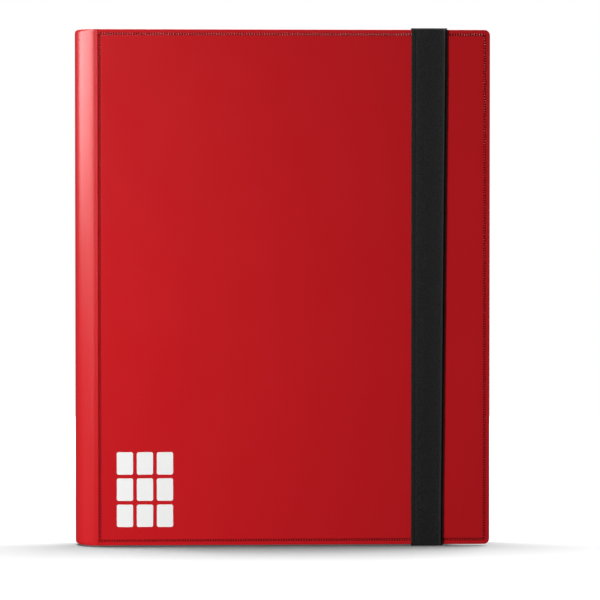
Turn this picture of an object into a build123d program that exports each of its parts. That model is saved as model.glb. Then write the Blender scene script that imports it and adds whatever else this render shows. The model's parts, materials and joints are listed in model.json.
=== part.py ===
"""Trading card binder, nine pockets to a page, standing on its bottom edge.

The spine is at -X, the fore-edge at +X, the front cover faces -Y and the back cover +Y.
The origin is the centre of the base, on the surface that the binder stands on.
"""
from build123d import *
from math import asin, cos, degrees, radians, sin, sqrt, tan
import os

os.makedirs("parts", exist_ok=True)

# Pages, in mm. A card is 63.5 x 88.9, and a pocket takes it in its sleeve.
sheet_count = 20
pocket_columns = 3
pocket_rows = 3
pocket_width = 69.0
pocket_height = 96.0
weld_width = 3.0
binding_margin = 14.0
backing_thickness = 0.3
film_thickness = 0.12
sheet_corner_radius = 4.0
fore_pitch = 0.83

# Covers
binder_thickness = 31.5
skin_thickness = 0.5
board_thickness = 1.6
liner_thickness = 0.4
head_margin = 15.1
fore_margin = 17.75
cover_rim = 4.0
cover_corner_radius = 3.5
board_corner_radius = 2.0
board_ease = 0.2

# Spine and binding
spine_liner_thickness = 0.9
glue_gap = 0.05
hinge_gap = 0.3
root_offset = 3.2
root_gap = 0.3
root_margin = 1.375
channel_web = 1.6
channel_leg = 1.2
channel_overlap = 0.7
channel_gap = 0.1

# Elastic strap
strap_width = 24.0
strap_thickness = 0.9
strap_from_fore_edge = 50.6
strap_gap = 0.3
strap_edge_gap = 0.1
strap_bend_radius = 1.2
strap_tuck = 24.0
slot_gap = 0.35
anchor_thickness = 0.6
anchor_overlap = 5.0

# Printed mark: a small chart of the nine pockets
mark_from_hinge = 29.7
mark_from_base = 35.8
mark_card_width = 10.4
mark_card_height = 14.4
mark_card_radius = 1.2
mark_gap = 2.4
mark_thickness = 0.1

# Sheet and cover sizes
sheet_width = binding_margin + pocket_columns * (pocket_width + weld_width)
sheet_height = pocket_rows * pocket_height + (pocket_rows + 1) * weld_width
cover_height = sheet_height + 2 * head_margin
cover_length = root_offset + sheet_width + fore_margin
cover_thickness = skin_thickness + board_thickness + liner_thickness
spine_radius = binder_thickness / 2
binder_width = spine_radius + cover_length

# Places
base_z = strap_thickness + strap_edge_gap
mid_z = base_z + cover_height / 2
hinge_x = spine_radius - binder_width / 2
spine_y = -(strap_gap + strap_thickness) / 2
hinge_reach = spine_radius - skin_thickness / 2
front_hinge_y = spine_y - hinge_reach
back_hinge_y = spine_y + hinge_reach

# Where the strap's ends go through the back cover, from its hinge line and its mid-height
slot_x = cover_length - strap_from_fore_edge + strap_width / 2
slot_height = cover_height / 2 - strap_tuck
anchor_depth = skin_thickness + board_thickness - anchor_thickness
anchor_length = strap_width + 2 * anchor_overlap
anchor_height = strap_thickness + 2 * anchor_overlap

# The pages are closer together at the fore-edge than at the spine, so the front cover leans in
root_half = spine_radius - cover_thickness - root_margin
root_pitch = 2 * root_half / (sheet_count - 1)
lean = degrees(asin((sheet_count + 1) * (root_pitch - fore_pitch) / sheet_width))


def upright(x, y, angle, z, side):
    """A plane that stands on edge: X runs towards the fore-edge, and Z to the front or the back.

    side is -1 for a plane that faces the front, and 1 for one that faces the back.
    """
    along = (cos(radians(angle)), sin(radians(angle)), 0)
    facing = (-side * along[1], side * along[0], 0)
    return Plane(origin=(x, y, z), x_dir=along, z_dir=facing)


def save(builder, name):
    """Labels a finished piece and writes it."""
    builder.part.label = name
    export_step(builder.part, f"parts/{name}.step")


def cover_plane(side, depth):
    """The plane at a depth under a cover's outer face, facing inwards. side is -1 at the front."""
    angle = lean if side < 0 else 0
    at_hinge = upright(hinge_x, spine_y + side * hinge_reach, angle, mid_z, -side)
    return at_hinge.offset(depth - skin_thickness / 2)


def cover_outline(margin, radius):
    """A cover's outline, drawn in a by the margin from its welded edge."""
    length = cover_length - 2 * margin
    height = cover_height - 2 * margin
    with BuildSketch() as outline:
        with Locations((margin + length / 2, 0)):
            Rectangle(length, height)
        fillet(outline.vertices().group_by(Axis.X)[-1], radius)
    return outline.sketch


def strap_holes(depth, width, height):
    """Two rectangles at a depth in the back cover, where the strap's ends go through it."""
    with BuildSketch(cover_plane(1, depth)) as holes:
        with Locations((slot_x, slot_height), (slot_x, -slot_height)):
            Rectangle(width, height)
    return holes.sketch


def make_cover_skin(name, side):
    """The vinyl skin, whose edge at the spine is rounded about the hinge line."""
    with BuildPart() as skin:
        with BuildSketch(cover_plane(side, 0)):
            add(cover_outline(0, cover_corner_radius))
        extrude(amount=skin_thickness)
        with BuildSketch(Plane(origin=(hinge_x, spine_y + side * hinge_reach, base_z))):
            Circle(skin_thickness / 2)
        extrude(amount=cover_height)
        if side > 0:
            slots = strap_holes(0, strap_width + 2 * slot_gap, strap_thickness + 2 * slot_gap)
            extrude(slots, amount=skin_thickness, mode=Mode.SUBTRACT)
    save(skin, name)


def make_cover_board(name, side):
    """The stiff board that is sealed between the skin and the liner."""
    with BuildPart() as board:
        with BuildSketch(cover_plane(side, skin_thickness)):
            add(cover_outline(cover_rim + board_ease, board_corner_radius))
        extrude(amount=board_thickness)
        if side > 0:
            slots = strap_holes(skin_thickness, strap_width + 2 * slot_gap, strap_thickness + 2 * slot_gap)
            extrude(slots, amount=board_thickness, mode=Mode.SUBTRACT)
            recesses = strap_holes(
                anchor_depth, anchor_length + 2 * board_ease, anchor_height + 2 * board_ease
            )
            extrude(recesses, amount=anchor_thickness, mode=Mode.SUBTRACT)
    save(board, name)


def make_cover_liner(name, side):
    """The inner sheet, welded to the skin round its rim and raised over the board."""
    with BuildPart() as liner:
        with BuildSketch(cover_plane(side, skin_thickness)):
            add(cover_outline(0, cover_corner_radius))
        extrude(amount=liner_thickness)
        with BuildSketch(cover_plane(side, skin_thickness)):
            add(cover_outline(cover_rim - liner_thickness, board_corner_radius + liner_thickness))
        extrude(amount=board_thickness + liner_thickness)
        with BuildSketch(cover_plane(side, skin_thickness)):
            add(cover_outline(cover_rim, board_corner_radius))
        extrude(amount=board_thickness, mode=Mode.SUBTRACT)
    save(liner, name)


def make_strap_anchor(name, end):
    """The plate inside the back cover that an end of the strap is sewn to. end is 1 at the top."""
    with BuildPart() as anchor:
        with BuildSketch(cover_plane(1, anchor_depth)):
            with Locations((slot_x, end * slot_height)):
                Rectangle(anchor_length, anchor_height)
        extrude(amount=anchor_thickness)
    save(anchor, name)


def make_mark():
    """The printed mark, low on the front cover beside the hinge."""
    with BuildPart() as mark:
        with BuildSketch(upright(hinge_x, front_hinge_y, lean, base_z, -1).offset(skin_thickness / 2)):
            with Locations((mark_from_hinge, mark_from_base)):
                with GridLocations(
                    mark_card_width + mark_gap, mark_card_height + mark_gap, pocket_columns, pocket_rows
                ):
                    RectangleRounded(mark_card_width, mark_card_height, mark_card_radius)
        extrude(amount=mark_thickness)
    save(mark, "cover_mark")


def make_spine_shell(name, outer_radius, thickness):
    """A half-round shell of the spine, which stops just short of both hinge lines."""
    edge_gap = skin_thickness / 2 + hinge_gap
    with BuildPart() as shell:
        with BuildSketch(Plane(origin=(hinge_x, spine_y, base_z))):
            Circle(outer_radius)
            Circle(outer_radius - thickness, mode=Mode.SUBTRACT)
            with Locations((-edge_gap, 0)):
                Rectangle(
                    2 * outer_radius,
                    2 * outer_radius,
                    align=(Align.MIN, Align.CENTER),
                    mode=Mode.SUBTRACT,
                )
        extrude(amount=cover_height)
    save(shell, name)


def make_binding_channel():
    """The channel that the sheets are fixed to. Its legs reach back to the spine's liner."""
    web_face = root_offset - backing_thickness / 2 - root_gap
    half_width = root_half + channel_overlap
    liner_inside = spine_radius - skin_thickness - glue_gap - spine_liner_thickness
    leg_reach = sqrt(liner_inside**2 - half_width**2) - channel_gap
    leg_length = leg_reach + web_face
    with BuildPart() as channel:
        with BuildSketch(Plane(origin=(hinge_x, spine_y, mid_z - sheet_height / 2))):
            with Locations((web_face - channel_web / 2, 0)):
                Rectangle(channel_web, 2 * half_width)
            leg_y = half_width - channel_leg / 2
            with Locations((web_face - leg_length / 2, leg_y), (web_face - leg_length / 2, -leg_y)):
                Rectangle(leg_length, channel_leg)
        extrude(amount=sheet_height)
    save(channel, "binding_channel")


def make_strap():
    """The elastic strap, from its slot in the back cover round the front to the other slot."""
    strap_x = binder_width / 2 - strap_from_fore_edge
    cover_face_y = front_hinge_y - skin_thickness / 2
    cover_face_y += (strap_x - hinge_x) * tan(radians(lean))
    front_y = cover_face_y - strap_gap - strap_thickness
    back_y = spine_y + spine_radius + strap_gap + strap_thickness
    depth = back_y - front_y
    height = cover_height + 2 * (strap_edge_gap + strap_thickness)
    tongue_start = spine_y + spine_radius - anchor_depth + slot_gap
    inner_radius = strap_bend_radius - strap_thickness
    with BuildPart() as strap:
        with BuildSketch(Plane.YZ.offset(strap_x)):
            with Locations(((front_y + back_y) / 2, mid_z)):
                RectangleRounded(depth, height, strap_bend_radius)
                RectangleRounded(
                    depth - 2 * strap_thickness,
                    height - 2 * strap_thickness,
                    inner_radius,
                    mode=Mode.SUBTRACT,
                )
            with Locations((back_y, mid_z)):
                Rectangle(4 * strap_thickness, 2 * slot_height - strap_thickness, mode=Mode.SUBTRACT)
            tongue_length = back_y - tongue_start
            tongue_y = (back_y + tongue_start) / 2
            with Locations((tongue_y, mid_z + slot_height), (tongue_y, mid_z - slot_height)):
                Rectangle(tongue_length, strap_thickness)
        extrude(amount=strap_width)
    save(strap, "elastic_strap")


def sheet_plane(number, depth):
    """The plane at a depth in front of a sheet's middle. Sheet 1 is next to the front cover."""
    root_y = spine_y - root_half + (number - 1) * root_pitch
    angle = lean * (sheet_count + 1 - number) / (sheet_count + 1)
    return upright(hinge_x + root_offset, root_y, angle, mid_z, -1).offset(depth)


def make_sheet(number):
    """One page: its backing, rounded about the line that it turns on, and its pockets' films."""
    name = f"sheet_{number:02d}"
    middle = sheet_plane(number, 0)
    with BuildPart() as backing:
        with BuildSketch(middle) as outline:
            with Locations((sheet_width / 2, 0)):
                Rectangle(sheet_width, sheet_height)
            fillet(outline.vertices().group_by(Axis.X)[-1], sheet_corner_radius)
        extrude(amount=backing_thickness / 2, both=True)
        with BuildSketch(Plane(origin=middle.origin - Vector(0, 0, sheet_height / 2))):
            Circle(backing_thickness / 2)
        extrude(amount=sheet_height)
    save(backing, f"{name}_backing")

    column_pitch = pocket_width + weld_width
    first_column = binding_margin + pocket_width / 2
    columns = [(first_column + n * column_pitch, 0) for n in range(pocket_columns)]
    with BuildPart() as pockets:
        for depth in (backing_thickness / 2, -backing_thickness / 2 - film_thickness):
            with BuildSketch(sheet_plane(number, depth)):
                with Locations(*columns):
                    Rectangle(pocket_width, sheet_height - 2 * weld_width)
            extrude(amount=film_thickness)
    save(pockets, f"{name}_pockets")


for cover_name, cover_side in (("front_cover", -1), ("back_cover", 1)):
    make_cover_skin(f"{cover_name}_skin", cover_side)
    make_cover_board(f"{cover_name}_board", cover_side)
    make_cover_liner(f"{cover_name}_liner", cover_side)

make_strap_anchor("strap_anchor_upper", 1)
make_strap_anchor("strap_anchor_lower", -1)

make_mark()
make_spine_shell("spine_skin", spine_radius, skin_thickness)
make_spine_shell("spine_liner", spine_radius - skin_thickness - glue_gap, spine_liner_thickness)
make_binding_channel()
make_strap()

for sheet_number in range(1, sheet_count + 1):
    make_sheet(sheet_number)
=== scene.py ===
"""The looks of a trading card binder: red vinyl covers, a round spine, black pages and a strap.

The binder stands on its base, with its spine at -X and its front cover towards -Y. Each
sub-assembly is a class that holds its sizes, builds its pieces and dresses them. Lengths are
in metres, and MM turns a length in millimetres into metres.
"""

import json
import logging
import math
from contextlib import contextmanager
from dataclasses import dataclass, field
from enum import Enum
from typing import Callable, Iterator

import bmesh
import bpy
from mathutils import Matrix, Vector

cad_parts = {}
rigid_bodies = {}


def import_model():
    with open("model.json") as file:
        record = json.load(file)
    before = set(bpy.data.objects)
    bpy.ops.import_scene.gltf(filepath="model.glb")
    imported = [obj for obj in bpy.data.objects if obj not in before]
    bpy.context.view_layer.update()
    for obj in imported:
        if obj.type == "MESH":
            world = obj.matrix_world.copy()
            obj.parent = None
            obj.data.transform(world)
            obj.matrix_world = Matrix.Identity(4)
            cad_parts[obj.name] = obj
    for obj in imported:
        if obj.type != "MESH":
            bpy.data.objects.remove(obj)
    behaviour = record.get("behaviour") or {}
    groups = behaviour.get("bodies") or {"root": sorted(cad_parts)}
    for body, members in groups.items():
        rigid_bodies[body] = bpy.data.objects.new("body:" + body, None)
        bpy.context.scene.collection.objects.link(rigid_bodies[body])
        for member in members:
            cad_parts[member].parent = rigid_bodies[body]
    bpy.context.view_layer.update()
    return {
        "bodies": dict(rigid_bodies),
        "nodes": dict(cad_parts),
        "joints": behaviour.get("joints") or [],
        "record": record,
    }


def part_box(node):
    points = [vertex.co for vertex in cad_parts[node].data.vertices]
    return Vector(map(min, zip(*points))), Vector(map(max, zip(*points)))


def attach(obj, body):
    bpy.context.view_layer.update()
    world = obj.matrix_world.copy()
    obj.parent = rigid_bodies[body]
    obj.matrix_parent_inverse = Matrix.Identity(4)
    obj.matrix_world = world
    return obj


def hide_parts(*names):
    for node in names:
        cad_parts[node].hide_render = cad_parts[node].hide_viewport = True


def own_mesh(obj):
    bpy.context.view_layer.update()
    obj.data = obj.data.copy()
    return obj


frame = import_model()
MM = 0.001
SAME = 1e-6  # points nearer than this are one point
NEAR = 0.01 * MM  # how near a point is to the line or level that it belongs to
log = logging.getLogger("binder")


# Modelling

class Pick(Enum):
    """What a selection in edit mode is made of."""

    VERTS = "VERT"
    EDGES = "EDGE"
    FACES = "FACE"


def make_active(obj: bpy.types.Object) -> None:
    """Selects one object alone and makes it the active one.

    Args:
        obj: The object that the next operators act on.
    """
    bpy.ops.object.select_all(action="DESELECT")
    obj.select_set(True)
    bpy.context.view_layer.objects.active = obj


@contextmanager
def editing(obj: bpy.types.Object) -> Iterator[None]:
    """Holds an object in edit mode, with nothing selected at the start.

    Args:
        obj: The mesh object to edit.
    """
    make_active(obj)
    bpy.ops.object.mode_set(mode="EDIT")
    bpy.ops.mesh.select_all(action="DESELECT")
    yield
    bpy.ops.object.mode_set(mode="OBJECT")


def choose(obj: bpy.types.Object, kind: Pick, test: Callable[[Vector], bool]) -> None:
    """Selects the vertices, edges or faces whose middle passes a test.

    Args:
        obj: The object in edit mode.
        kind: What to select.
        test: Takes a middle point and says whether its element is selected.
    """
    bpy.ops.mesh.select_mode(type=kind.value)
    bpy.ops.mesh.select_all(action="DESELECT")
    mesh = bmesh.from_edit_mesh(obj.data)
    if kind is Pick.VERTS:
        for vert in mesh.verts:
            vert.select_set(test(vert.co))
    elif kind is Pick.EDGES:
        for edge in mesh.edges:
            edge.select_set(test((edge.verts[0].co + edge.verts[1].co) / 2))
    else:
        for face in mesh.faces:
            face.select_set(test(face.calc_center_median()))
    mesh.select_flush_mode()
    bmesh.update_edit_mesh(obj.data)


def move(x: float = 0, y: float = 0, z: float = 0) -> None:
    """Moves what is selected in edit mode."""
    bpy.ops.transform.translate(value=(x, y, z))


def stretch(x: float, y: float, z: float, centre: Vector) -> None:
    """Scales what is selected in edit mode about a point."""
    bpy.ops.transform.resize(value=(x, y, z), center_override=tuple(centre))


def apply_modifier(obj: bpy.types.Object, kind: str, **settings: object) -> None:
    """Adds a modifier with its settings and applies it.

    Args:
        obj: The object to change.
        kind: The modifier's type, such as "BEVEL".
        settings: The modifier's properties by name.
    """
    make_active(obj)
    modifier = obj.modifiers.new(kind.title(), kind)
    for name, value in settings.items():
        setattr(modifier, name, value)
    bpy.ops.object.modifier_apply(modifier=modifier.name)


def soften(obj: bpy.types.Object, width: float, segments: int = 2) -> None:
    """Rounds an object's sharp edges a little and smooths its shading."""
    apply_modifier(
        obj,
        "BEVEL",
        width=width,
        segments=segments,
        limit_method="ANGLE",
        angle_limit=math.radians(25),
        use_clamp_overlap=True,
    )
    smooth(obj)


def smooth(obj: bpy.types.Object, angle: float = 40) -> None:
    """Smooths the shading of all edges flatter than an angle in degrees."""
    make_active(obj)
    bpy.ops.object.shade_smooth_by_angle(angle=math.radians(angle))


def close_up(obj: bpy.types.Object) -> None:
    """Merges an object's doubled points and points its faces outwards."""
    with editing(obj):
        bpy.ops.mesh.select_all(action="SELECT")
        bpy.ops.mesh.remove_doubles(threshold=SAME)
        bpy.ops.mesh.normals_make_consistent(inside=False)


def turn_out(sheet: bpy.types.Object, axis: int) -> None:
    """Points an open sheet's faces outwards, judged by its lowest face along an axis.

    Args:
        sheet: The sheet before it gets its thickness.
        axis: 0 for X and 1 for Y.
    """
    with editing(sheet):
        bpy.ops.mesh.select_all(action="SELECT")
        bpy.ops.mesh.normals_make_consistent(inside=False)
    lowest = min(sheet.data.polygons, key=lambda face: face.center[axis])
    if lowest.normal[axis] > 0:
        with editing(sheet):
            bpy.ops.mesh.select_all(action="SELECT")
            bpy.ops.mesh.flip_normals()


def repeat(obj: bpy.types.Object, count: int, step: Vector) -> None:
    """Repeats an object's mesh in a row, each copy one step on from the last."""
    apply_modifier(
        obj,
        "ARRAY",
        count=count,
        use_relative_offset=False,
        use_constant_offset=True,
        constant_offset_displace=step,
    )


def put(obj: bpy.types.Object, place: Matrix) -> bpy.types.Object:
    """Moves a piece from its flat modelling frame to its place, and leaves the place in its mesh.

    Args:
        obj: The piece, modelled about the origin.
        place: The matrix from the modelling frame to the binder's frame.

    Returns:
        The same piece, with its object at the origin.
    """
    make_active(obj)
    obj.matrix_world = place @ obj.matrix_world
    bpy.ops.object.transform_apply(location=True, rotation=True, scale=True)
    return obj


def copy_of(obj: bpy.types.Object, name: str) -> bpy.types.Object:
    """A copy of an object with its own mesh."""
    made = obj.copy()
    made.data = obj.data.copy()
    made.name = made.data.name = name
    bpy.context.scene.collection.objects.link(made)
    return made


def join(pieces: list[bpy.types.Object], name: str) -> bpy.types.Object:
    """Joins several objects into the first one and names it.

    Args:
        pieces: The objects to join.
        name: The joined object's name.

    Returns:
        The joined object.
    """
    make_active(pieces[0])
    for piece in pieces[1:]:
        piece.select_set(True)
    bpy.ops.object.join()
    pieces[0].name = pieces[0].data.name = name
    return pieces[0]


def add_rectangle(name: str, x: tuple[float, float], y: tuple[float, float], z: float) -> bpy.types.Object:
    """A flat rectangle between two limits each way, at a height.

    Args:
        name: The object's name.
        x: Its lowest and highest X.
        y: Its lowest and highest Y.
        z: Its height.

    Returns:
        The new object, with its place in its mesh.
    """
    bpy.ops.object.select_all(action="DESELECT")
    centre = Vector(((x[0] + x[1]) / 2, (y[0] + y[1]) / 2, z))
    bpy.ops.mesh.primitive_plane_add(size=1, location=centre)
    obj = bpy.context.active_object
    obj.name = obj.data.name = name
    obj.scale = (x[1] - x[0], y[1] - y[0], 1)
    bpy.ops.object.transform_apply(location=True, rotation=True, scale=True)
    return obj


def add_box(name: str, low: Vector, high: Vector) -> bpy.types.Object:
    """A box between two corners, with its place in its mesh."""
    bpy.ops.object.select_all(action="DESELECT")
    bpy.ops.mesh.primitive_cube_add(size=1, location=(low + high) / 2)
    obj = bpy.context.active_object
    obj.name = obj.data.name = name
    obj.scale = high - low
    bpy.ops.object.transform_apply(location=True, rotation=True, scale=True)
    return obj


def sink_rings(rings: list[tuple[float, float]]) -> None:
    """Insets the selected faces ring by ring, and moves each new inner face up or down.

    Args:
        rings: For each ring, its width and the rise of its inner edge.
    """
    for width, rise in rings:
        bpy.ops.mesh.inset(thickness=width, depth=0)
        if rise:
            move(z=rise)


def draw_rim(z: float) -> None:
    """Draws the outline of the open sheet in edit mode out to a height."""
    bpy.ops.mesh.select_mode(type="EDGE")
    bpy.ops.mesh.select_all(action="DESELECT")
    bpy.ops.mesh.select_non_manifold()
    bpy.ops.mesh.extrude_edges_move()
    stretch(1, 1, 0, Vector((0, 0, z)))


def close_back(z: float) -> None:
    """Closes the open sheet in edit mode with a flat back at a height."""
    draw_rim(z)
    bpy.ops.mesh.edge_face_add()
    bpy.ops.mesh.select_all(action="SELECT")
    bpy.ops.mesh.normals_make_consistent(inside=False)


def score(axis: int, at: float, clear: bool = False) -> None:
    """Cuts the mesh in edit mode with a plane square to an axis.

    Args:
        axis: 0 for X and 1 for Y.
        at: Where the plane crosses the axis.
        clear: Whether what lies below the plane goes.
    """
    normal = Vector.Fill(3, 0)
    normal[axis] = 1
    bpy.ops.mesh.select_all(action="SELECT")
    bpy.ops.mesh.bisect(plane_co=normal * at, plane_no=normal, clear_inner=clear)


# Finishes

Socket = bpy.types.NodeSocket


class Nodes:
    """A short way to write a node tree."""

    def __init__(self, tree: bpy.types.NodeTree) -> None:
        """Starts on a tree, which is emptied."""
        self.tree = tree
        tree.nodes.clear()

    def add(self, kind: str, inputs: dict | None = None, **settings: object) -> bpy.types.Node:
        """Adds a node.

        Args:
            kind: The node's type.
            inputs: Values or sockets for its inputs, by name or number.
            settings: The node's properties.

        Returns:
            The new node.
        """
        node = self.tree.nodes.new(kind)
        for name, value in settings.items():
            setattr(node, name, value)
        for name, value in (inputs or {}).items():
            if isinstance(value, Socket):
                self.tree.links.new(value, node.inputs[name])
            else:
                node.inputs[name].default_value = value
        return node

    def maths(self, operation: str, first: object, second: object = 0.0) -> Socket:
        """A sum, product or other result of two values."""
        return self.add("ShaderNodeMath", {0: first, 1: second}, operation=operation).outputs[0]

    def noise(
        self, vector: Socket, scale: float | Socket, detail: float = 3, roughness: float = 0.5
    ) -> Socket:
        """A noise's value at a vector."""
        inputs = {"Vector": vector, "Scale": scale, "Detail": detail, "Roughness": roughness}
        return self.add("ShaderNodeTexNoise", inputs).outputs[0]

    def spread(self, value: Socket, low: float, high: float) -> Socket:
        """A value from 0 to 1 spread between two limits."""
        inputs = {"Value": value, "To Min": low, "To Max": high}
        return self.add("ShaderNodeMapRange", inputs).outputs[0]

    def step(self, value: Socket, start: float, end: float) -> Socket:
        """Nought up to one limit of a value and one from the other limit on."""
        inputs = {"Value": value, "From Min": start, "From Max": end}
        return self.add("ShaderNodeMapRange", inputs).outputs[0]

    def blend(self, factor: object, first: object, second: object) -> Socket:
        """A mix of two colours."""
        node = self.add("ShaderNodeMix", {0: factor, 6: first, 7: second}, data_type="RGBA")
        return node.outputs[2]

    def surface(self, inputs: dict) -> None:
        """Adds a Principled shader and links it to the material's output.

        Args:
            inputs: Values or sockets for the shader's inputs, by name.
        """
        shader = self.add("ShaderNodeBsdfPrincipled", inputs)
        self.add("ShaderNodeOutputMaterial", {"Surface": shader.outputs[0]})


def new_material(name: str) -> tuple[bpy.types.Material, Nodes]:
    """A new material, and its nodes to fill in."""
    material = bpy.data.materials.new(name)
    material.use_nodes = True
    return material, Nodes(material.node_tree)


def new_group(name: str, inputs: dict[str, tuple[str, float]], outputs: dict[str, str]) -> Nodes:
    """An empty shader node group with named sockets.

    Args:
        name: The group's name.
        inputs: For each input, its socket type and its usual value.
        outputs: For each output, its socket type.

    Returns:
        The group's nodes, with its input and output nodes in place.
    """
    tree = bpy.data.node_groups.new(name, "ShaderNodeTree")
    for label, (kind, value) in inputs.items():
        socket = tree.interface.new_socket(label, in_out="INPUT", socket_type=f"NodeSocket{kind}")
        if kind == "Float":
            socket.default_value = value
    for label, kind in outputs.items():
        tree.interface.new_socket(label, in_out="OUTPUT", socket_type=f"NodeSocket{kind}")
    nodes = Nodes(tree)
    nodes.source = nodes.add("NodeGroupInput")
    nodes.sink = nodes.add("NodeGroupOutput")
    return nodes


class Effects:
    """The node groups that several finishes share."""

    def __init__(self) -> None:
        """Builds each group once."""
        self.grain = self.make_grain()
        self.blotches = self.make_blotches()

    def make_grain(self) -> bpy.types.NodeTree:
        """A fine pebbled grain, as pressed into film and vinyl.

        Returns:
            The group, with a Height and a Mask of the grain's hollows.
        """
        nodes = new_group(
            "pressed_grain",
            {"Vector": ("Vector", 0), "Scale": ("Float", 2500), "Softness": ("Float", 0.5)},
            {"Height": "Float", "Mask": "Float"},
        )
        source = nodes.source.outputs
        cells = nodes.add(
            "ShaderNodeTexVoronoi",
            {"Vector": source["Vector"], "Scale": source["Scale"], "Smoothness": 0.6},
            feature="SMOOTH_F1",
        )
        fine = nodes.noise(source["Vector"], nodes.maths("MULTIPLY", source["Scale"], 2.3), 2)
        height = nodes.maths("SUBTRACT", fine, nodes.maths("MULTIPLY", cells.outputs["Distance"], 0.7))
        mask = nodes.add(
            "ShaderNodeMapRange",
            {"Value": cells.outputs["Distance"], "From Min": source["Softness"], "From Max": 1.0},
        )
        nodes.tree.links.new(height, nodes.sink.inputs["Height"])
        nodes.tree.links.new(mask.outputs[0], nodes.sink.inputs["Mask"])
        return nodes.tree

    def make_blotches(self) -> bpy.types.NodeTree:
        """Slow changes of tone and gloss over a hand's breadth, as on handled plastic.

        Returns:
            The group, with a Tone and a Gloss, both about 0.5.
        """
        nodes = new_group(
            "handled_blotches",
            {"Vector": ("Vector", 0), "Scale": ("Float", 14)},
            {"Tone": "Float", "Gloss": "Float"},
        )
        source = nodes.source.outputs
        tone = nodes.noise(source["Vector"], source["Scale"], 2)
        gloss = nodes.noise(source["Vector"], nodes.maths("MULTIPLY", source["Scale"], 3.1), 4)
        nodes.tree.links.new(tone, nodes.sink.inputs["Tone"])
        nodes.tree.links.new(gloss, nodes.sink.inputs["Gloss"])
        return nodes.tree


@dataclass(frozen=True)
class Plastic:
    """A film, sheet or moulding of plastic.

    Attributes:
        name: The material's name.
        colour: Its colour.
        shade: Its colour in the hollows and darker blotches.
        roughness: Its middle roughness.
        grain_scale: How fine its grain is, in cells to a metre.
        grain_depth: The strength of its grain.
        clear: How much shows through it, from 0 to 1.
        pit_shade_tone: How much of its shade is left in the floor of a pressed weld, as painted shade in the
            weld's recess.
    """

    name: str
    colour: tuple[float, float, float]
    shade: tuple[float, float, float]
    roughness: float
    grain_scale: float = 2500
    grain_depth: float = 0.1
    clear: float = 0.0
    pit_shade_tone: float = 0.35

    def make(self, effects: Effects) -> bpy.types.Material:
        """Builds the material.

        Args:
            effects: The shared node groups.

        Returns:
            The new material.
        """
        material, nodes = new_material(self.name)
        place = nodes.add("ShaderNodeTexCoord").outputs["Object"]
        grain = nodes.add("ShaderNodeGroup", node_tree=effects.grain)
        blotches = nodes.add("ShaderNodeGroup", node_tree=effects.blotches)
        nodes.tree.links.new(place, grain.inputs["Vector"])
        nodes.tree.links.new(place, blotches.inputs["Vector"])
        grain.inputs["Scale"].default_value = self.grain_scale
        tone = nodes.spread(blotches.outputs["Tone"], 0.0, 0.5)
        hollows = nodes.maths("MULTIPLY", grain.outputs["Mask"], 0.5)
        colour = nodes.blend(nodes.maths("ADD", tone, hollows), (*self.colour, 1), (*self.shade, 1))
        # The floor of a pressed weld is painted darker: painted shade for the recess.
        pressed = nodes.add("ShaderNodeAttribute", attribute_name="pressed").outputs["Fac"]
        painted_pit_shade = tuple(channel * self.pit_shade_tone for channel in self.shade)
        colour = nodes.blend(pressed, colour, (*painted_pit_shade, 1))
        roughness = nodes.spread(blotches.outputs["Gloss"], self.roughness * 0.85, self.roughness * 1.15)
        bump = nodes.add(
            "ShaderNodeBump",
            {"Height": grain.outputs["Height"], "Strength": self.grain_depth, "Distance": 0.1 * MM},
        )
        nodes.surface(
            {"Base Color": colour, "Roughness": roughness, "Normal": bump.outputs[0], "Alpha": 1 - self.clear}
        )
        return material


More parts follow.
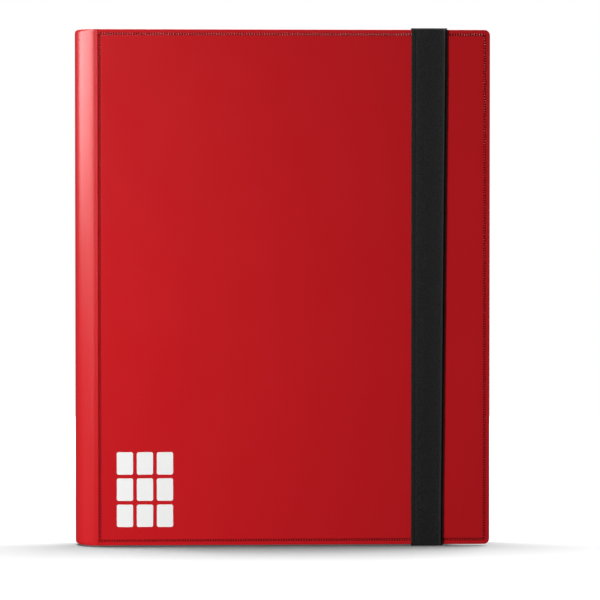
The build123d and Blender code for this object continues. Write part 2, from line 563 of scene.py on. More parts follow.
@dataclass(frozen=True)
class Webbing:
    """Woven elastic, with fine ribs across the strap and two stitched lines along it.

    Attributes:
        name: The material's name.
        colour: The yarn's colour.
        light: The colour of the yarn's rubbed tops, partly wear and partly a painted highlight on the raised
            ribs.
        rib_pitch: The distance between ribs.
        lines: How far each stitched line is from the strap's left edge.
        line_width: The width of a stitched line.
        lower_width: The share of its width that the strap keeps at the bottom.
    """

    name: str
    colour: tuple[float, float, float]
    light: tuple[float, float, float]
    rib_pitch: float
    lines: tuple[float, float] = (3.7 * MM, 20.1 * MM)
    line_width: float = 0.35 * MM
    lower_width: float = 0.89

    def make(self, effects: Effects) -> bpy.types.Material:
        """Builds the material.

        Args:
            effects: The shared node groups.

        Returns:
            The new material.
        """
        material, nodes = new_material(self.name)
        place = nodes.add("ShaderNodeTexCoord").outputs["Object"]
        parts = nodes.add("ShaderNodeSeparateXYZ", {0: place}).outputs
        along = nodes.maths("ADD", parts["Y"], parts["Z"])
        turns = 2 * math.pi / self.rib_pitch
        ribs = nodes.maths("SINE", nodes.maths("MULTIPLY", along, turns))
        yarns = nodes.maths("SINE", nodes.maths("MULTIPLY", parts["X"], turns * 1.4))
        weave = nodes.maths("MULTIPLY", ribs, yarns)
        fuzz = nodes.noise(place, 1500, 5, 0.75)
        height = nodes.maths("ADD", nodes.maths("MULTIPLY", weave, 0.12), fuzz)
        grain = nodes.add("ShaderNodeGroup", node_tree=effects.grain)
        nodes.tree.links.new(place, grain.inputs["Vector"])
        # The raised ribs are lightened, partly wear and partly a painted highlight, and the stitched lines
        # are lightened too.
        rubbed_and_lit = nodes.maths("MULTIPLY", nodes.spread(fuzz, -1.6, 2.4), nodes.spread(weave, 0.6, 1.0))
        stitches = nodes.step(nodes.maths("SINE", nodes.maths("MULTIPLY", parts["Z"], turns / 2)), -0.2, 0.2)
        rubbed_and_lit = nodes.maths("MAXIMUM", rubbed_and_lit, nodes.maths("MULTIPLY", self.make_lines(nodes, parts), stitches))
        colour = nodes.blend(rubbed_and_lit, (*self.colour, 1), (*self.light, 1))
        bump = nodes.add("ShaderNodeBump", {"Height": height, "Strength": 0.9, "Distance": 0.25 * MM})
        roughness = nodes.spread(grain.outputs["Mask"], 0.75, 0.9)
        nodes.surface(
            {
                "Base Color": colour,
                "Roughness": roughness,
                "Normal": bump.outputs[0],
                "Specular IOR Level": 0.3,
                "Sheen Weight": 0.03,
                "Sheen Roughness": 0.5,
            }
        )
        return material

    def make_lines(self, nodes: Nodes, parts: dict[str, Socket]) -> Socket:
        """Marks the two thin stitched lines beside the strap's grooves.

        Args:
            nodes: The material's nodes.
            parts: The three coordinates.

        Returns:
            One on the lines, and nought elsewhere.
        """
        low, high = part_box("elastic_strap")
        slope = (1 - self.lower_width) / (high.z - low.z)
        width = nodes.maths("ADD", nodes.maths("MULTIPLY", parts["Z"], slope), self.lower_width)
        across = nodes.maths("DIVIDE", nodes.maths("SUBTRACT", parts["X"], low.x), width)
        marks = [
            nodes.step(nodes.maths("ABSOLUTE", nodes.maths("SUBTRACT", across, line)), self.line_width, 0)
            for line in self.lines
        ]
        return nodes.maths("ADD", *marks)


class Finish(Enum):
    """The finishes of the binder's pieces, each named after its slot in the record."""

    VINYL = "cover_vinyl"
    LINING = "cover_lining"
    BOARD = "cover_board"
    STIFFENER = "spine_stiffener"
    BINDING = "binding_plastic"
    WEBBING = "elastic_webbing"
    ANCHOR = "anchor_plastic"
    PAGE = "page_backing"
    FILM = "pocket_film"
    PRINT = "mark_print"


RECIPES = {
    Finish.VINYL: Plastic("red_vinyl", (0.60, 0.007, 0.012), (0.52, 0.004, 0.007), 0.34, 2600, 0.08),
    Finish.LINING: Plastic("black_lining", (0.022, 0.022, 0.024), (0.012, 0.012, 0.013), 0.55, 1500, 0.35),
    Finish.BOARD: Plastic("grey_board", (0.42, 0.37, 0.31), (0.30, 0.26, 0.21), 0.85, 900, 0.4),
    Finish.STIFFENER: Plastic("black_stiffener", (0.03, 0.03, 0.033), (0.018, 0.018, 0.02), 0.5, 1200, 0.2),
    Finish.BINDING: Plastic("black_moulding", (0.028, 0.028, 0.03), (0.016, 0.016, 0.018), 0.4, 1800, 0.15),
    Finish.WEBBING: Webbing("black_elastic", (0.003, 0.003, 0.0031), (0.032, 0.032, 0.034), 0.9 * MM),
    Finish.ANCHOR: Plastic("anchor_plate", (0.04, 0.04, 0.042), (0.02, 0.02, 0.022), 0.5, 1500, 0.1),
    Finish.PAGE: Plastic("black_page", (0.016, 0.016, 0.018), (0.010, 0.010, 0.011), 0.5, 1400, 0.2),
    Finish.FILM: Plastic("clear_film", (0.75, 0.78, 0.82), (0.6, 0.63, 0.68), 0.16, 700, 0.03, clear=0.86),
    Finish.PRINT: Plastic("white_print", (0.97, 0.97, 0.96), (0.93, 0.93, 0.92), 0.42, 2600, 0.06),
}


class Wardrobe:
    """Dresses pieces in their finishes."""

    def __init__(self) -> None:
        """Builds every material once."""
        effects = Effects()
        self.materials = {finish: recipe.make(effects) for finish, recipe in RECIPES.items()}

    def dress(self, obj: bpy.types.Object, finish: Finish) -> None:
        """Gives a new piece one finish all over.

        Args:
            obj: The piece.
            finish: Its finish.
        """
        obj.data.materials.clear()
        obj.data.materials.append(self.materials[finish])

    def dress_nodes(self) -> None:
        """Gives every carried-over CAD node the finish that its slot names."""
        for part in frame["record"]["subparts"]:
            node = frame["nodes"][part["node"]]
            material = self.materials[Finish(part["material_slot"])]
            node.data.materials.clear()
            node.data.materials.append(material)


# The binder

class Layout:
    """Where the binder's main parts are, read from the frame."""

    def __init__(self) -> None:
        """Reads the hinge lines, the covers' sizes and the front cover's lean."""
        joints = {joint["name"]: joint for joint in frame["joints"]}
        self.front_hinge = Vector(joints["front_cover_open"]["pos_m"])
        self.back_hinge = Vector(joints["spine_fold"]["pos_m"])
        self.lean = math.radians(joints["front_cover_open"]["range_deg"][1] - 90)
        low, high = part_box("back_cover_skin")
        self.base, self.top = low.z, high.z
        self.height = self.top - self.base
        self.length = high.x - self.back_hinge.x
        self.skin = high.y - low.y
        self.spine_axis = Vector((self.front_hinge.x, (self.front_hinge.y + self.back_hinge.y) / 2, 0))
        self.spine_radius = high.y - self.spine_axis.y
        self.joints = joints

    def cover_place(self, side: int) -> Matrix:
        """The matrix from a cover's flat frame to its place.

        Args:
            side: -1 for the front cover and 1 for the back one.

        Returns:
            A matrix whose X runs to the fore-edge, and whose Z points out of the cover.
        """
        angle = self.lean if side < 0 else 0.0
        hinge = self.front_hinge if side < 0 else self.back_hinge
        along = Vector((math.cos(angle), math.sin(angle), 0))
        up = Vector((0, 0, -side))
        out = along.cross(up)
        start = self.base if side < 0 else self.top
        origin = Vector((hinge.x, hinge.y, start)) + out * self.skin / 2
        turn = Matrix((along, up, out)).transposed().to_4x4()
        return Matrix.Translation(origin) @ turn


class Side(Enum):
    """The two covers. Each value is the sign of the cover's outward direction along Y."""

    FRONT = -1
    BACK = 1


@dataclass
class Cover:
    """A cover: vinyl welded round a board, with a black liner inside.

    Attributes:
        layout: Where the binder's parts are.
        side: Which cover it is.
        corner_radius: The radius of its corners at the fore-edge.
        edge_cut: How far the panel stops from the hinge line.
        rim: The width of the flat rim outside the weld.
        corner_inset: How far in the rounded corners become sharp.
        edge_round: The radius of the rim's outer edge.
        rim_drop: How far the rim lies under the face.
        wall: The width of the weld's sloping walls.
        weld: The width of the weld's floor.
        weld_depth: How far the weld's floor lies under the rim.
        shoulder: The width of the slope from the weld up to the face.
        face_border: The width of the face's flat border inside the slope.
        seam_from_hinge: From the hinge line to the middle of the weld beside it.
        rib_pitch: The distance between the weld's ribs.
        rib_size: A rib's length across the weld, its width and its rise.
        liner_film: The liner's thickness.
        liner_step: The width of the step up over the board.
        liner_round: The radius of the liner's edges.
        corner_reach: How far round a corner its points are gathered, as a share of its radius.
        strap_thickness: The thickness of the strap that the slots take.
        slot_gap: The gap between the strap and its slot all round.
    """

    layout: Layout
    side: Side
    corner_radius: float = 3.5 * MM
    edge_cut: float = 0.28 * MM
    rim: float = 2.2 * MM
    corner_inset: float = 3.2 * MM
    edge_round: float = 0.15 * MM
    rim_drop: float = 0.06 * MM
    wall: float = 0.12 * MM
    weld: float = 1.36 * MM
    weld_depth: float = 0.36 * MM
    shoulder: float = 0.8 * MM
    face_border: float = 3 * MM
    seam_from_hinge: float = 1.1 * MM
    rib_pitch: float = 1.62 * MM
    rib_size: tuple[float, float, float] = (1.5 * MM, 0.78 * MM, 0.38 * MM)
    liner_film: float = 0.4 * MM
    liner_step: float = 0.35 * MM
    liner_round: float = 0.2 * MM
    corner_reach: float = 1.7
    strap_thickness: float = 0.9 * MM
    slot_gap: float = 0.35 * MM

    def __post_init__(self) -> None:
        """Works out the cover's name, its size and its place."""
        self.name = f"{self.side.name.lower()}_cover"
        self.place = self.layout.cover_place(self.side.value)
        self.length = self.layout.length
        self.height = self.layout.height
        low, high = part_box("back_cover_liner")
        self.thickness = self.layout.skin + high.y - low.y
        low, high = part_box("elastic_strap")
        self.strap_width = high.x - low.x

    @property
    def seam_inset(self) -> float:
        """From the cover's edge to the middle of the weld."""
        return self.rim + self.wall + self.weld / 2

    @property
    def floor(self) -> float:
        """The height of the weld's floor."""
        return -self.rim_drop - self.weld_depth

    def make_outline(self, name: str, start: float, z: float) -> bpy.types.Object:
        """A flat sheet in the cover's outline, with rounded corners at the fore-edge.

        Args:
            name: The sheet's name.
            start: Where it starts, from the hinge line.
            z: Its height over the cover's face.

        Returns:
            The sheet, in the cover's flat frame.
        """
        sheet = add_rectangle(name, (start, self.length), (0, self.height), z)
        with editing(sheet):
            choose(sheet, Pick.VERTS, lambda point: point.x > self.length / 2)
            bpy.ops.mesh.bevel(offset=self.corner_radius, segments=6, affect="VERTICES")
        return sheet

    def gather_corners(self, sheet: bpy.types.Object, inset: float, level: float) -> None:
        """Merges each rounded corner of an inner outline into one point, and selects the face inside.

        Args:
            sheet: The sheet in edit mode.
            inset: How far the inner outline is in from the sheet's edge.
            level: The height of the inner outline.
        """
        reach = self.corner_reach * (self.corner_radius - inset)
        middle = (self.corner_radius + inset) / 2
        for corner_y in (middle, self.height - middle):
            corner = Vector((self.length - middle, corner_y))
            choose(
                sheet,
                Pick.VERTS,
                lambda point, at=corner: abs(point.z - level) < NEAR
                and max(abs(point.x - at.x), abs(point.y - at.y)) < reach,
            )
            bpy.ops.mesh.merge(type="CENTER")
        choose(
            sheet,
            Pick.FACES,
            lambda point: abs(point.z - level) < NEAR
            and max(abs(point.x / self.length - 0.5), abs(point.y / self.height - 0.5)) < 0.25,
        )

    def make_panel(self) -> bpy.types.Object:
        """The vinyl panel with its rim, its weld and its face.

        Returns:
            The panel in the cover's flat frame.
        """
        start = self.seam_from_hinge - self.seam_inset
        edge = self.edge_round
        panel = self.make_outline(f"{self.name}_vinyl", start, -self.rim_drop - edge)
        to_corner = self.corner_inset - self.rim - self.wall
        outer_rings = [
            (0.4 * edge, 0.6 * edge),
            (0.6 * edge, 0.4 * edge),
            (self.rim - edge, 0),
            (self.wall, -self.weld_depth),
            (to_corner, 0),
        ]
        inner_rings = [
            (self.weld - to_corner, 0),
            (self.wall, self.weld_depth),
            (0.4 * self.shoulder, 0.7 * self.rim_drop),
            (0.6 * self.shoulder, 0.3 * self.rim_drop),
            (self.face_border, 0),
        ]
        with editing(panel):
            choose(panel, Pick.FACES, lambda point: True)
            sink_rings(outer_rings)
            self.gather_corners(panel, self.corner_inset, self.floor)
            sink_rings(inner_rings)
            score(0, self.edge_cut, clear=True)
            close_back(-self.layout.skin)
        # Marks the weld's floor faces, which the vinyl material paints with shade as a recess.
        pressed = panel.data.attributes.new("pressed", "FLOAT", "FACE")
        for face in panel.data.polygons:
            pressed.data[face.index].value = abs(face.center.z - self.floor) < NEAR
        return panel

    def make_rib_row(self, start: Vector, end: Vector, across: Vector) -> bpy.types.Object:
        """One straight row of weld ribs.

        Args:
            start: The first rib's middle.
            end: The last rib's middle.
            across: The direction across the weld.

        Returns:
            All the row's ribs, as one object.
        """
        length, width, rise = self.rib_size
        foot, crown_inset = 0.03 * MM, 0.28 * width
        run = end - start
        count = round(run.length / self.rib_pitch)
        half = across * length / 2 + run.normalized() * width / 2
        low = start - half - Vector((0, 0, foot))
        high = start + half + Vector((0, 0, rise / 2))
        ribs = add_box("weld_rib", low, high)
        with editing(ribs):
            choose(ribs, Pick.FACES, lambda point: point.z > high.z - SAME)
            bpy.ops.mesh.inset(thickness=crown_inset, depth=rise / 2)
        repeat(ribs, count + 1, run / count)
        return ribs

    def make_ribs(self) -> bpy.types.Object:
        """The ribs of the weld, along all four sides of the panel.

        Returns:
            The ribs in the cover's flat frame.
        """
        inset, floor = self.seam_inset, self.floor
        left, right = self.seam_from_hinge, self.length - inset
        low, high = inset, self.height - inset
        gap = 1.2 * self.rib_pitch
        up, along = Vector((0, 1, 0)), Vector((1, 0, 0))
        rows = [
            self.make_rib_row(Vector((left + gap, y, floor)), Vector((right - gap, y, floor)), up)
            for y in (low, high)
        ]
        rows += [
            self.make_rib_row(Vector((x, low, floor)), Vector((x, high, floor)), along)
            for x in (left, right)
        ]
        return join(rows, "weld_ribs")

    def cut_slots(self, panel: bpy.types.Object) -> None:
        """Cuts the two slots for the strap's ends through the back panel.

        Args:
            panel: The back panel, in its place.
        """
        width = self.strap_width / 2 + self.slot_gap
        for anchor in ("strap_anchor_upper", "strap_anchor_lower"):
            low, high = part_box(anchor)
            middle = (low + high) / 2
            reach = Vector((width, 5 * self.layout.skin, self.strap_thickness / 2 + self.slot_gap))
            cutter = add_box("slot_cutter", middle - reach, middle + reach)
            apply_modifier(panel, "BOOLEAN", operation="DIFFERENCE", object=cutter, solver="EXACT")
            bpy.data.objects.remove(cutter)

    def make_liner(self) -> bpy.types.Object:
        """The black liner, a shallow tray over the board.

        Returns:
            The liner in the cover's flat frame.
        """
        film = self.liner_film
        board_face, rim_face = -self.layout.skin, -self.layout.skin - film
        rise = self.thickness - self.layout.skin - film
        liner = self.make_outline(f"{self.name}_lining", 0, rim_face)
        with editing(liner):
            self.press_tray(liner, rim_face, self.liner_step, -rise)
            close_back(board_face)
            self.press_tray(liner, board_face, self.liner_step + film, -rise)
        return liner

    def press_tray(self, liner: bpy.types.Object, level: float, step: float, rise: float) -> None:
        """Presses the middle of one of the liner's broad faces in or out.

        Args:
            liner: The liner in edit mode.
            level: The height of the face.
            step: The width of the step round the pressed middle.
            rise: How far the middle goes up.
        """
        choose(liner, Pick.FACES, lambda point: abs(point.z - level) < SAME)
        sink_rings([(self.corner_inset, 0)])
        self.gather_corners(liner, self.corner_inset, level)
        sink_rings([(step, rise)])

    def build(self, wardrobe: Wardrobe) -> list[bpy.types.Object]:
        """Builds and dresses the cover's pieces.

        Args:
            wardrobe: The finishes.

        Returns:
            The new pieces.
        """
        panel = put(self.make_panel(), self.place)
        if self.side is Side.BACK:
            self.cut_slots(panel)
        smooth(panel, 30)
        ribs = put(self.make_ribs(), self.place)
        smooth(ribs)
        panel = join([panel, ribs], panel.name)
        liner = put(self.make_liner(), self.place)
        close_up(liner)
        soften(liner, self.liner_round)
        wardrobe.dress(panel, Finish.VINYL)
        wardrobe.dress(liner, Finish.LINING)
        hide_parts(f"{self.name}_skin")
        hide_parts(f"{self.name}_liner")
        for piece in (panel, liner):
            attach(piece, self.name)
        return [panel, liner]


@dataclass
class Spine:
    """The round spine: vinyl with a pressed crease beside each hinge, a stiffener and a channel.

    Attributes:
        layout: Where the binder's parts are.
        crease: The shallow crease, as points from the hinge line: how far back and how deep.
        hinge_taper: Past the hinge line, how far a point is and its share of the thickness.
        end_round: How far the spine's ends draw in at the back.
        end_steps: For each ring near an end, how far it is from the end and its share of the draw.
        stiffener_short: How far the stiffener's ends are inside the vinyl's.
        stiffener_film: The stiffener's thickness.
        stiffener_tails: The points that carry the stiffener on, like those of the crease.
        flattened: The share of its depth that the spine keeps when the binder lies open; not used.
        sides: The number of flat sides that a full circle would have.
        channel_leg: The thickness of the channel's legs.
        channel_web: The thickness of the channel's middle.
        channel_round: The radius of the channel's edges.
    """

    layout: Layout
    crease: tuple[tuple[float, float], ...] = (
        (2.3 * MM, 0.2 * MM),
        (1.7 * MM, 0.16 * MM),
        (1.1 * MM, 0.1 * MM),
        (0.5 * MM, 0.03 * MM),
        (0, 0),
        (-0.12 * MM, 0),
        (-0.22 * MM, 0),
    )
    hinge_taper: tuple[tuple[float, float], ...] = ((0.12 * MM, 0.8), (0.22 * MM, 0.35))
    end_round: float = 1.4 * MM
    end_steps: tuple[tuple[float, float], ...] = ((0, 1), (0.4 * MM, 0.5), (1.0 * MM, 0.18), (2.2 * MM, 0))
    stiffener_short: float = 1.5 * MM
    stiffener_film: float = 0.9 * MM
    stiffener_tails: tuple[tuple[float, float], ...] = ((2.9 * MM, 0.75 * MM),)
    flattened: float = 0.35
    sides: int = 128
    channel_leg: float = 1.2 * MM
    channel_web: float = 1.6 * MM
    channel_round: float = 0.25 * MM

    def make_shell(
        self, name: str, radius: float, thickness: float, tails: tuple[tuple[float, float], ...], short: float
    ) -> bpy.types.Object:
        """A half-round shell, whose ends draw in a little.

        Args:
            name: The shell's name.
            radius: Its outer radius.
            thickness: Its thickness, inwards.
            tails: Points that carry it on to the hinge lines, each as how far back and how deep.
            short: How far it stops from the covers' upper and lower edges.

        Returns:
            The shell.
        """
        axis, base, top = self.layout.spine_axis, self.layout.base + short, self.layout.top - short
        stop = tails[0][0] + 0.4 * MM
        bpy.ops.object.select_all(action="DESELECT")
        bpy.ops.mesh.primitive_circle_add(
            vertices=self.sides, radius=radius, fill_type="NOTHING", location=(axis.x, axis.y, base)
        )
        shell = bpy.context.active_object
        shell.name = shell.data.name = name
        bpy.ops.object.transform_apply(location=True, rotation=True, scale=True)
        with editing(shell):
            choose(shell, Pick.VERTS, lambda point: point.x > axis.x - stop)
            bpy.ops.mesh.delete(type="VERT")
            for side in (-1, 1):
                mesh = bmesh.from_edit_mesh(shell.data)
                edge = max((vert.co for vert in mesh.verts), key=lambda co: (side * co.y, co.x)).copy()
                for back, depth in tails:
                    choose(shell, Pick.VERTS, lambda point, edge=edge: (point - edge).length < SAME)
                    target = Vector((axis.x - back, axis.y + side * (radius - depth), base))
                    bpy.ops.mesh.extrude_vertices_move()
                    move(*(target - edge))
                    edge = target
            heights = [distance for distance, _ in self.end_steps]
            levels = [base + height for height in heights] + [top - height for height in reversed(heights)]
            bpy.ops.mesh.select_mode(type="EDGE")
            bpy.ops.mesh.select_all(action="SELECT")
            for low, high in zip(levels, levels[1:]):
                bpy.ops.mesh.extrude_edges_move()
                move(z=high - low)
            for distance, share in self.end_steps:
                for level in (base + distance, top - distance):
                    choose(shell, Pick.VERTS, lambda point, level=level: abs(point.z - level) < SAME)
                    stretch(1 - share * self.end_round / radius, 1, 1, axis)
        turn_out(shell, 0)
        apply_modifier(shell, "SOLIDIFY", thickness=thickness, offset=-1, use_even_offset=True)
        smooth(shell, 30)
        return shell

    def make_channel(self) -> bpy.types.Object:
        """The moulded channel that the pages are fixed to, with a leg along each side.

        Returns:
            The channel.
        """
        low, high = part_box("binding_channel")
        web = self.channel_web
        inside = (low.y + self.channel_leg, high.y - self.channel_leg)
        channel = add_box("binding_moulding", Vector((high.x - web, low.y, low.z)), high)
        with editing(channel):
            for side in inside:
                score(1, side)
            choose(
                channel,
                Pick.FACES,
                lambda point: point.x < high.x - 0.9 * web and not inside[0] < point.y < inside[1],
            )
            bpy.ops.mesh.extrude_region_move()
            move(x=low.x - (high.x - web))
        soften(channel, self.channel_round)
        return channel

    def build(self, wardrobe: Wardrobe) -> list[bpy.types.Object]:
        """Builds and dresses the spine's pieces.

        Args:
            wardrobe: The finishes.

        Returns:
            The new pieces.
        """
        axis, radius = self.layout.spine_axis, self.layout.spine_radius
        vinyl = self.make_shell("spine_vinyl", radius, self.layout.skin, self.crease, 0)
        with editing(vinyl):
            for hinge in (self.layout.front_hinge, self.layout.back_hinge):
                for past, share in self.hinge_taper:
                    choose(
                        vinyl,
                        Pick.VERTS,
                        lambda point, at=hinge, past=past: abs(point.x - at.x - past) < 0.03 * MM
                        and abs(point.y - at.y) < self.layout.skin,
                    )
                    stretch(1, share, 1, hinge)
        low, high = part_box("spine_liner")
        inner_radius = (high.y - low.y) / 2
        stiffener = self.make_shell(
            "spine_stiffener", inner_radius, self.stiffener_film, self.stiffener_tails, self.stiffener_short
        )
        channel = self.make_channel()
        _, channel_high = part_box("binding_channel")
        dressing = (
            (vinyl, Finish.VINYL, "spine_skin", axis.x),
            (stiffener, Finish.STIFFENER, "spine_liner", axis.x),
            (channel, Finish.BINDING, "binding_channel", channel_high.x),
        )
        for piece, finish, node, anchor in dressing:
            wardrobe.dress(piece, finish)
            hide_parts(node)
            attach(piece, "spine")
            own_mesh(piece)
        return [vinyl, stiffener, channel]


@dataclass
class Strap:
    """The woven elastic strap that holds the binder shut.

    Attributes:
        layout: Where the binder's parts are.
        thickness: The webbing's thickness.
        bend: The radius of its middle where it turns round an edge.
        columns: The lines along the strap, from its left edge, each with its sink under the face.
        lower_width: The share of its width that it keeps at the bottom, where it is stretched more.
        released_depth: The share of its depth that it keeps once it hangs behind the back cover; not used.
        tail: How far its ends reach in through the slots.
        edge_round: The radius of its edges.
    """

    layout: Layout
    thickness: float = 0.9 * MM
    bend: float = 0.75 * MM
    columns: tuple[tuple[float, float], ...] = (
        (0, 0),
        (2.3 * MM, 0),
        (2.7 * MM, 0.22 * MM),
        (3.1 * MM, 0.02 * MM),
        (11.4 * MM, 0),
        (20.8 * MM, 0.02 * MM),
        (21.15 * MM, 0.2 * MM),
        (21.5 * MM, 0),
        (22.85 * MM, 0),
    )
    lower_width: float = 0.89
    released_depth: float = 0.04
    tail: float = 1.9 * MM
    edge_round: float = 0.28 * MM

    def make_band(self) -> bpy.types.Object:
        """The strap, from its slot in the back cover round the front to the other slot.

        Returns:
            The strap in its place.
        """
        low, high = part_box("elastic_strap")
        half = self.thickness / 2
        front, back = low.y + half, high.y - half
        bottom, top = low.z + half, high.z - half
        slots = [sum(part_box(node), Vector()).z / 2 for node in ("strap_anchor_lower", "strap_anchor_upper")]
        band = add_rectangle("woven_strap", (front, back), (bottom, top), 0)
        with editing(band):
            for slot in slots:
                score(1, slot)
            middle = (front + back) / 2
            choose(band, Pick.EDGES, lambda p: abs(p.x - middle) < NEAR and bottom + half < p.y < top - half)
            bpy.ops.mesh.delete(type="EDGE")
            choose(band, Pick.EDGES, lambda p: p.x > middle + NEAR and slots[0] < p.y < slots[1])
            bpy.ops.mesh.delete(type="EDGE")
            choose(band, Pick.VERTS, lambda p: p.x > middle and slots[0] - SAME < p.y < slots[1] + SAME)
            bpy.ops.mesh.extrude_vertices_move()
            move(x=-self.tail)
            choose(band, Pick.VERTS, lambda p: min(abs(p.y - bottom), abs(p.y - top)) < SAME)
            bpy.ops.mesh.bevel(offset=self.bend, segments=4, affect="VERTICES")
            bpy.ops.mesh.select_mode(type="EDGE")
            bpy.ops.mesh.select_all(action="SELECT")
            places = [place for place, _ in self.columns]
            for start, end in zip(places, places[1:]):
                bpy.ops.mesh.extrude_edges_move()
                move(z=end - start)
        turn = Matrix(((0, 0, 1), (1, 0, 0), (0, 1, 0))).to_4x4()
        put(band, Matrix.Translation((low.x, 0, 0)) @ turn)
        turn_out(band, 1)
        with editing(band):
            for place, sink in self.columns:
                choose(band, Pick.VERTS, lambda p, x=low.x + place: abs(p.x - x) < NEAR)
                bpy.ops.transform.shrink_fatten(value=-sink)
                choose(
                    band,
                    Pick.VERTS,
                    lambda p, x=low.x + place: abs(p.x - x) < 10 * NEAR and p.y < front + 2 * self.bend,
                )
                move(y=place * math.tan(self.layout.lean))
            choose(band, Pick.VERTS, lambda p: p.z < self.layout.height / 2)
            stretch(self.lower_width, 1, 1, low)
        return band

    def build(self, wardrobe: Wardrobe) -> list[bpy.types.Object]:
        """Builds and dresses the strap.

        Args:
            wardrobe: The finishes.

        Returns:
            The strap.
        """
        band = self.make_band()
        apply_modifier(band, "SOLIDIFY", thickness=self.thickness, offset=0, use_even_offset=True)
        soften(band, self.edge_round)
        wardrobe.dress(band, Finish.WEBBING)
        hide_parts("elastic_strap")
        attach(band, "strap")
        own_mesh(band)
        return [band]


@dataclass
class Pages:
    """The nine-pocket pages: each a black sheet with clear pockets on both sides.

    Attributes:
        layout: Where the binder's parts are.
        corner_radius: The radius of a page's corners at the fore-edge.
        columns: The number of pockets across a page.
        rows: The number of pockets down a page.
        pocket: A pocket's width and height.
        weld: The width of the weld between pockets.
        pressed: How far the page is pressed in behind a pocket.
        puff: How far a pocket's film stands out in its middle.
        film: The film's thickness.
        mouth: How deep the thumb cut in a pocket's mouth is.
        step: The width of the step down to the pressed part.
        border: The width of a film's flat border.
        slope: The width of the slope inside the border.
        stand_off: The gap between a page and its films.
    """

    layout: Layout
    corner_radius: float = 4 * MM
    columns: int = 3
    rows: int = 3
    pocket: tuple[float, float] = (69 * MM, 96 * MM)
    weld: float = 3 * MM
    pressed: float = 0.03 * MM
    puff: float = 0.05 * MM
    film: float = 0.06 * MM
    mouth: float = 4 * MM
    step: float = 0.5 * MM
    border: float = 1.2 * MM
    slope: float = 3 * MM
    stand_off: float = 0.01 * MM

    def __post_init__(self) -> None:
        """Works out the page's size and where each one stands."""
        names = sorted(name for name in frame["bodies"] if name.startswith("sheet_"))
        self.names = names
        low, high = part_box(f"{names[-1]}_backing")
        root = Vector(self.layout.joints[f"{names[-1]}_turn"]["pos_m"])
        self.width = high.x - root.x
        self.height = high.z - low.z
        lean = self.layout.lean / (len(names) + 1)
        self.backing = (high.y - low.y) - self.width * math.sin(lean)
        self.margin = self.width - self.columns * (self.pocket[0] + self.weld)

    def sheet_place(self, number: int) -> Matrix:
        """The matrix from a page's flat frame to its place.

        Args:
            number: The page's number, from 1 next to the front cover.

        Returns:
            A matrix whose X runs to the fore-edge, and whose Z points to the front.
        """
        count = len(self.names) + 1
        angle = self.layout.lean * (count - number) / count
        along = Vector((math.cos(angle), math.sin(angle), 0))
        up = Vector((0, 0, 1))
        root = Vector(self.layout.joints[f"{self.names[number - 1]}_turn"]["pos_m"])
        turn = Matrix((along, up, along.cross(up))).transposed().to_4x4()
        return Matrix.Translation(root) @ turn

    def make_page(self) -> bpy.types.Object:
        """A black page, pressed in a little behind each pocket.

        Returns:
            The page in its flat frame.
        """
        half_height = self.height / 2
        page = add_rectangle("page", (0, self.width), (-half_height, half_height), self.backing / 2)
        width, height = self.pocket
        starts = [self.margin + n * (width + self.weld) for n in range(self.columns)]
        bottoms = [self.weld - half_height + n * (height + self.weld) for n in range(self.rows)]
        with editing(page):
            choose(page, Pick.VERTS, lambda point: point.x > self.width / 2)
            bpy.ops.mesh.bevel(offset=self.corner_radius, segments=5, affect="VERTICES")
            for axis, edges, size in ((0, starts, width), (1, bottoms, height)):
                for edge in edges:
                    score(axis, edge)
                    score(axis, edge + size)
            choose(
                page,
                Pick.FACES,
                lambda point: any(start < point.x < start + width for start in starts)
                and any(bottom < point.y < bottom + height for bottom in bottoms),
            )
            bpy.ops.mesh.inset(thickness=self.step, depth=-self.pressed, use_individual=True)
            draw_rim(0)
        apply_modifier(page, "MIRROR", use_axis=(False, False, True), merge_threshold=SAME)
        close_up(page)
        smooth(page, 30)
        return page

    def make_pockets(self) -> bpy.types.Object:
        """The clear pockets on both sides of a page.

        Returns:
            The pockets in the page's flat frame.
        """
        width, height = self.pocket
        bottom = self.weld - self.height / 2
        level = self.backing / 2 + self.stand_off
        pocket = add_rectangle("pocket", (self.margin, self.margin + width), (bottom, bottom + height), level)
        with editing(pocket):
            choose(pocket, Pick.EDGES, lambda point: point.y > bottom + height - NEAR)
            bpy.ops.mesh.subdivide(number_cuts=5)
            middle = self.margin + width / 2
            choose(
                pocket,
                Pick.VERTS,
                lambda point: abs(point.x - middle) < width / 4 and point.y > bottom + height - NEAR,
            )
            move(y=-self.mouth)
            choose(pocket, Pick.FACES, lambda point: True)
            sink_rings([(self.border, 0), (self.slope, self.puff)])
        apply_modifier(pocket, "SOLIDIFY", thickness=self.film, offset=1)
        for axis, count, size in ((0, self.columns, width), (1, self.rows, height)):
            step = Vector.Fill(3, 0)
            step[axis] = size + self.weld
            repeat(pocket, count, step)
        apply_modifier(pocket, "MIRROR", use_axis=(False, False, True), use_mirror_merge=False)
        close_up(pocket)
        smooth(pocket, 30)
        return pocket

    def build(self, wardrobe: Wardrobe) -> list[bpy.types.Object]:
        """Builds and dresses one page and its pockets, and copies them to every place.

        Args:
            wardrobe: The finishes.

        Returns:
            The new pieces.
        """
        page, pockets = self.make_page(), self.make_pockets()
        wardrobe.dress(page, Finish.PAGE)
        wardrobe.dress(pockets, Finish.FILM)
        pieces = []
        for number, body in enumerate(self.names, 1):
            for model, part, node, finish in (
                (page, "page", "backing", Finish.PAGE),
                (pockets, "film", "pockets", Finish.FILM),
            ):
                piece = put(copy_of(model, f"{body}_{part}"), self.sheet_place(number))
                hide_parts(f"{body}_{node}")
                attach(piece, body)
                pieces.append(piece)
        for model in (page, pockets):
            bpy.data.objects.remove(model)
        return pieces


# The studio

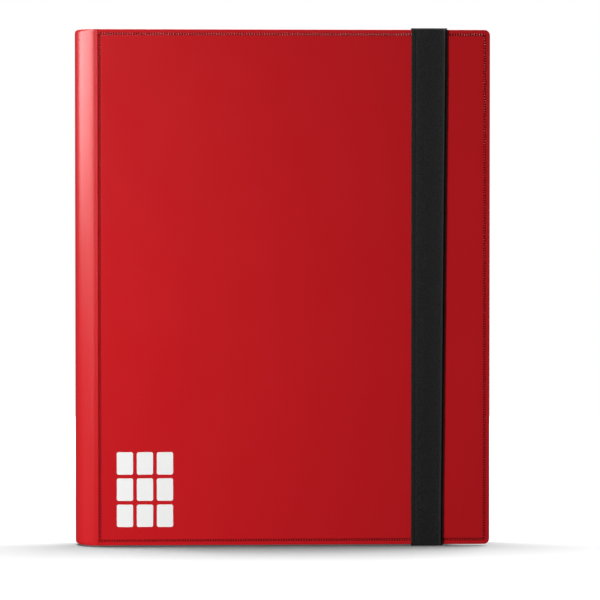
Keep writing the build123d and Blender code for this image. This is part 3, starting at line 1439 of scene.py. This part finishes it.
@dataclass
class Softbox:
    """A rectangular light, which the camera never sees directly.

    Attributes:
        name: Its name.
        place: Its middle.
        target: The point that it faces.
        size: Its width and height.
        radiance: How bright its face is.
        spares_floor: Whether the floor takes none of its light.
        mirrored: Whether glossy faces reflect it.
        diffuse: Whether it lights matt faces.
    """

    name: str
    place: tuple[float, float, float]
    target: tuple[float, float, float]
    size: tuple[float, float]
    radiance: float
    spares_floor: bool = False
    mirrored: bool = True
    diffuse: bool = True

    def build(self, unlit: bpy.types.Collection) -> None:
        """Adds the light to the scene.

        Args:
            unlit: The collection that holds the floor and keeps some lights off it.
        """
        light = bpy.data.lights.new(self.name, "AREA")
        light.shape = "RECTANGLE"
        light.size, light.size_y = self.size
        light.energy = self.radiance * math.pi * self.size[0] * self.size[1]
        lamp = bpy.data.objects.new(self.name, light)
        bpy.context.scene.collection.objects.link(lamp)
        lamp.location = self.place
        lamp.rotation_euler = (Vector(self.target) - lamp.location).to_track_quat("-Z", "Y").to_euler()
        lamp.visible_camera = False
        lamp.visible_glossy, lamp.visible_diffuse = self.mirrored, self.diffuse
        if self.spares_floor:
            lamp.light_linking.receiver_collection = unlit


@dataclass
class Studio:
    """The floor, the lights and the camera.

    Attributes:
        layout: Where the binder's parts are.
        distance: From the front cover to the camera.
        eye_height: The camera's height.
        aside: How far the camera stands to the right of the binder's middle.
        aim_height: The height that the camera looks at.
        lowered: How far the picture is moved down from there, as a share of its width.
        frame_width: The width that the camera's picture takes in at the front cover.
    """

    layout: Layout
    distance: float = 1.95
    eye_height: float = 0.218
    aside: float = 11.4 * MM
    aim_height: float = 0.166
    lowered: float = 0.02
    frame_width: float = 0.3835
    softboxes: tuple[Softbox, ...] = field(
        default_factory=lambda: (
            Softbox("left_box", (-0.72, -0.3, 0.43), (-0.1, 0, 0.43), (1.1, 0.32), 10.5, True, diffuse=False),
            Softbox("side_box", (-0.8, -0.25, 0.0), (0, 0, 0.1), (0.4, 0.4), 0.8, True, mirrored=False),
            Softbox("front_box", (-0.52, -0.68, 0.17), (0, 0, 0.17), (0.3, 0.3), 24.5, True, mirrored=False),
            Softbox("top_box", (0, 0.145, 1.3), (0, 0.145, 0), (1.6, 0.32), 16.5),
            Softbox("rear_box", (0.9, 1.3, 0.7), (0, 0, 0.15), (0.9, 0.9), 2.5),
        )
    )

    def build(self) -> None:
        """Adds the floor, the world, the lights and the camera, and keeps the vinyl's red off the floor."""
        unlit = bpy.data.collections.new("unlit")
        unlit.objects.link(self.make_floor())
        unlit.collection_objects[0].light_linking.link_state = "EXCLUDE"
        self.make_world()
        for softbox in self.softboxes:
            softbox.build(unlit)
        for piece in bpy.context.scene.objects:
            if piece.name.endswith("_vinyl"):
                piece.visible_diffuse = False
        self.make_camera()

    def make_floor(self) -> bpy.types.Object:
        """A plain pale floor that glows: faintly near the binder, which lightens its shadow, and whiter and
        whiter away from it.

        Returns:
            The floor.
        """
        floor = add_rectangle("floor", (-1.2, 1.2), (-1.2, 1.2), 0)
        material, nodes = new_material("pale_floor")
        place = nodes.add("ShaderNodeTexCoord").outputs["Object"]
        away = nodes.add("ShaderNodeVectorMath", {0: place}, operation="LENGTH").outputs["Value"]
        # Painted light: the floor's own glow lightens the binder's shadow and whitens the floor further out.
        glow = nodes.add(
            "ShaderNodeMapRange", {"Value": away, "From Min": 0.3, "From Max": 0.8, "To Min": 0.08}
        ).outputs[0]
        nodes.surface(
            {
                "Base Color": (0.86, 0.86, 0.86, 1),
                "Roughness": 0.9,
                "Specular IOR Level": 0,
                "Emission Color": (1, 1, 1, 1),
                "Emission Strength": glow,
            }
        )
        floor.data.materials.append(material)
        floor.visible_glossy = floor.visible_diffuse = False
        return floor

    def make_world(self) -> None:
        """A white background to the camera, and a dim room to everything else."""
        world = bpy.data.worlds.new("studio")
        world.use_nodes = True
        bpy.context.scene.world = world
        nodes = Nodes(world.node_tree)
        seen = nodes.add("ShaderNodeLightPath").outputs["Is Camera Ray"]
        dim = nodes.add("ShaderNodeBackground", {"Color": (0.08, 0.08, 0.082, 1), "Strength": 1.0})
        white = nodes.add("ShaderNodeBackground", {"Color": (1, 1, 1, 1), "Strength": 1.0})
        mix = nodes.add("ShaderNodeMixShader", {0: seen, 1: dim.outputs[0], 2: white.outputs[0]})
        nodes.add("ShaderNodeOutputWorld", {"Surface": mix.outputs[0]})
        bpy.context.scene.view_settings.view_transform = "Standard"

    def make_camera(self) -> None:
        """Adds the camera, level with the upper half of the binder and square on to it."""
        camera = bpy.data.cameras.new("camera")
        camera.sensor_width = 36
        camera.shift_y = -self.lowered
        front = self.layout.front_hinge.y
        place = Vector((self.aside, front - self.distance, self.eye_height))
        target = Vector((self.aside, front, self.aim_height))
        camera.lens = camera.sensor_width * (target - place).length / self.frame_width
        eye = bpy.data.objects.new("camera", camera)
        bpy.context.scene.collection.objects.link(eye)
        eye.location = place
        eye.rotation_euler = (target - place).to_track_quat("-Z", "Y").to_euler()
        bpy.context.scene.camera = eye


def main() -> None:
    """Builds the binder, then the studio round it."""
    logging.basicConfig(level=logging.INFO, format="%(name)s: %(message)s")
    layout = Layout()
    wardrobe = Wardrobe()
    parts = (Cover(layout, Side.FRONT), Cover(layout, Side.BACK), Spine(layout), Strap(layout), Pages(layout))
    for part in parts:
        for piece in part.build(wardrobe):
            log.info("%s has %d faces", piece.name, len(piece.data.polygons))
    wardrobe.dress_nodes()
    Studio(layout).build()


if __name__ == "__main__":
    main()
